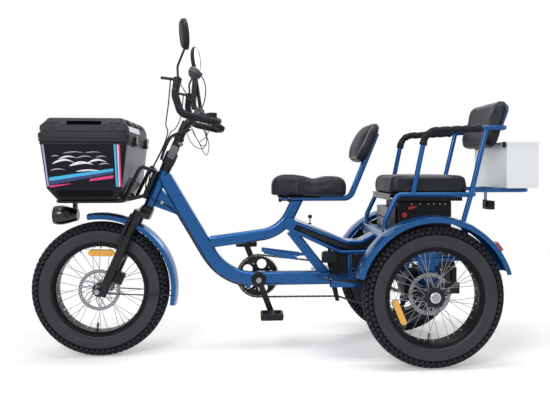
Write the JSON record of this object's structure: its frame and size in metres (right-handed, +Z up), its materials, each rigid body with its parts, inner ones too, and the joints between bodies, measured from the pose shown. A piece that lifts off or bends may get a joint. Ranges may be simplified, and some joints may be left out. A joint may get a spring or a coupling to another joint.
{
  "type": "electric tricycle",
  "caption": "Electric cargo tricycle with a low step-through frame, lidded front box, rider's saddle, rear passenger seat with arms, open rear bin and fat tyres.",
  "frame": {"origin": "on the floor at the centre of the bounding box's base", "axes": "+X forward along the tricycle, +Y to the rider's left, +Z up"},
  "size_m": [2.204, 0.72, 1.4209],
  "materials": {
    "frame_paint": "metallic blue lacquer",
    "black_metal": "satin black",
    "steel": "brushed",
    "alloy": "satin",
    "tyre_rubber": "matt",
    "foam": "matt foam",
    "seat_cover": "grained synthetic leather",
    "box_shell": "moulded",
    "bin_sheet": "plain sheet",
    "black_plastic": "matt",
    "deck_board": "matt",
    "lamp_black": "gloss",
    "mirror_shell": "gloss",
    "red_lens": "clear red",
    "cable_black": "smooth",
    "red_plastic": "moulded",
    "clear_lens": "clear"
  },
  "bodies": {
    "frame": {"arm_sleeves": "foam", "axle_housing": "black_metal", "battery_box": "black_plastic", "battery_switch": "red_plastic", "beam_inserts": "black_plastic", "cargo_box": "box_shell", "chain": "steel", "chain_guard": "frame_paint", "chain_tensioner": "black_metal", "controller_box": "black_metal", "foot_decks": "deck_board", "frame_cables": "cable_black", "front_rack": "frame_paint", "headlight": "lamp_black", "headlight_lens": "clear_lens", "junction_box": "black_plastic", "main_frame": "frame_paint", "passenger_backrest": "seat_cover", "passenger_cushion": "seat_cover", "passenger_seat_frame": "frame_paint", "rear_axle": "steel", "rear_bin": "bin_sheet", "rear_calipers": "black_metal", "rear_fenders": "frame_paint", "rear_frame": "frame_paint", "rear_lights": "red_lens", "rear_rack": "frame_paint", "rear_sprockets": "steel", "rider_backrest": "seat_cover", "saddle": "seat_cover", "saddle_rail": "frame_paint", "seat_base": "alloy"},
    "steering": {"fork": "black_metal", "front_axle": "steel", "front_fender": "frame_paint", "front_caliper": "black_metal", "stem": "black_metal", "handlebar": "black_metal", "bar_grips": "foam", "brake_levers": "black_metal", "bar_controls": "black_plastic", "mirrors": "mirror_shell", "steering_cables": "cable_black"},
    "front_wheel": {"front_tyre": "tyre_rubber", "front_rim": "black_metal", "front_hub": "alloy"},
    "rear_wheel_left": {"rear_left_tyre": "tyre_rubber", "rear_left_rim": "black_metal", "rear_left_hub": "alloy"},
    "rear_wheel_right": {"rear_right_tyre": "tyre_rubber", "rear_right_rim": "black_metal", "rear_right_hub": "alloy"},
    "crank": {"crankset": "black_metal"},
    "left_pedal": {"pedal_left": "black_plastic"},
    "right_pedal": {"pedal_right": "black_plastic"},
    "box_lid": {"cargo_lid": "box_shell"}
  },
  "joints": [
    {"name": "steer", "type": "hinge", "parent": "frame", "child": "steering", "pos_m": [0.56426, 0, 0.73569], "axis": [-0.4067, 0, 0.9135], "range_deg": [-40, 40]},
    {"name": "front_wheel_spin", "type": "hinge", "parent": "steering", "child": "front_wheel", "pos_m": [0.806, 0, 0.296], "axis": [0, 1, 0], "continuous": true},
    {"name": "rear_left_wheel_spin", "type": "hinge", "parent": "frame", "child": "rear_wheel_left", "pos_m": [-0.599, 0.305, 0.296], "axis": [0, 1, 0], "continuous": true},
    {"name": "rear_right_wheel_spin", "type": "hinge", "parent": "frame", "child": "rear_wheel_right", "pos_m": [-0.599, -0.305, 0.296], "axis": [0, 1, 0], "continuous": true},
    {"name": "crank_spin", "type": "hinge", "parent": "frame", "child": "crank", "pos_m": [0.114, 0, 0.33], "axis": [0, 1, 0], "continuous": true},
    {"name": "left_pedal_spin", "type": "hinge", "parent": "crank", "child": "left_pedal", "pos_m": [0.05953, 0.11, 0.1881], "axis": [0, 1, 0], "continuous": true},
    {"name": "right_pedal_spin", "type": "hinge", "parent": "crank", "child": "right_pedal", "pos_m": [0.16847, -0.15, 0.4719], "axis": [0, 1, 0], "continuous": true},
    {"name": "lid_hinge", "type": "hinge", "parent": "frame", "child": "box_lid", "pos_m": [0.996, 0, 0.93], "axis": [0, 1, 0], "range_deg": [0, 100]}
  ]
}
